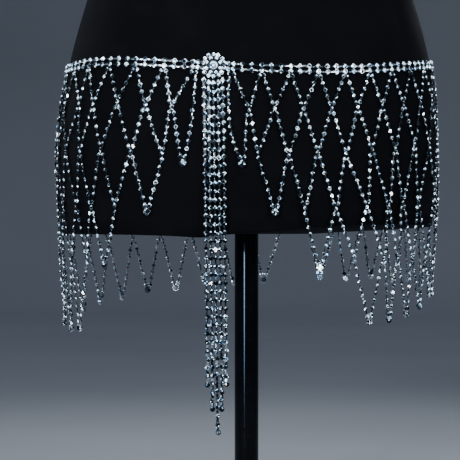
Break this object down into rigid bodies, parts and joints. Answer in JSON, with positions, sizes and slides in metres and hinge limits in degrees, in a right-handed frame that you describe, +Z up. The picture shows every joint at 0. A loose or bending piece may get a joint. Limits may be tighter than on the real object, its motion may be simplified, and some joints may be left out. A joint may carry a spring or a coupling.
{
  "type": "crystal waist chain on a hip form",
  "caption": "Crystal waist chain with a round rosette, a stepped tassel and a diamond net fringe, on a limbless black hip form with a pole and a round base.",
  "frame": {"origin": "middle of the base's underside, on the surface that the stand rests on", "axes": "+Z up along the pole; -Y is the form's own front and +X is to the right in a front view. The rosette sits on the front, towards -X."},
  "size_m": [0.3532, 0.28, 0.539],
  "materials": {
    "form_cover": "smooth black jersey with a soft sheen",
    "stand_enamel": "gloss black enamel",
    "silver_setting": "bright silver plate",
    "crystal": "clear faceted crystal"
  },
  "bodies": {
    "root": {"form_torso": "form_cover", "stand_pole": "stand_enamel", "stand_base": "stand_enamel", "belt_upper_left": "silver_setting", "belt_upper_right": "silver_setting", "belt_lower_left": "silver_setting", "belt_lower_right": "silver_setting", "side_link_left": "silver_setting", "side_link_right": "silver_setting", "belt_end_left": "silver_setting", "belt_end_right": "silver_setting", "net_left": "silver_setting", "net_right": "silver_setting", "rosette_plate": "silver_setting", "rosette_rim": "silver_setting", "tassel": "silver_setting", "clasp_ring": "silver_setting", "clasp_claw": "silver_setting", "rosette_center": "crystal", "rosette_stone_1": "crystal", "rosette_stone_2": "crystal", "rosette_stone_3": "crystal", "rosette_stone_4": "crystal", "rosette_stone_5": "crystal", "rosette_stone_6": "crystal", "rosette_stone_7": "crystal", "rosette_stone_8": "crystal"}
  },
  "joints": []
}
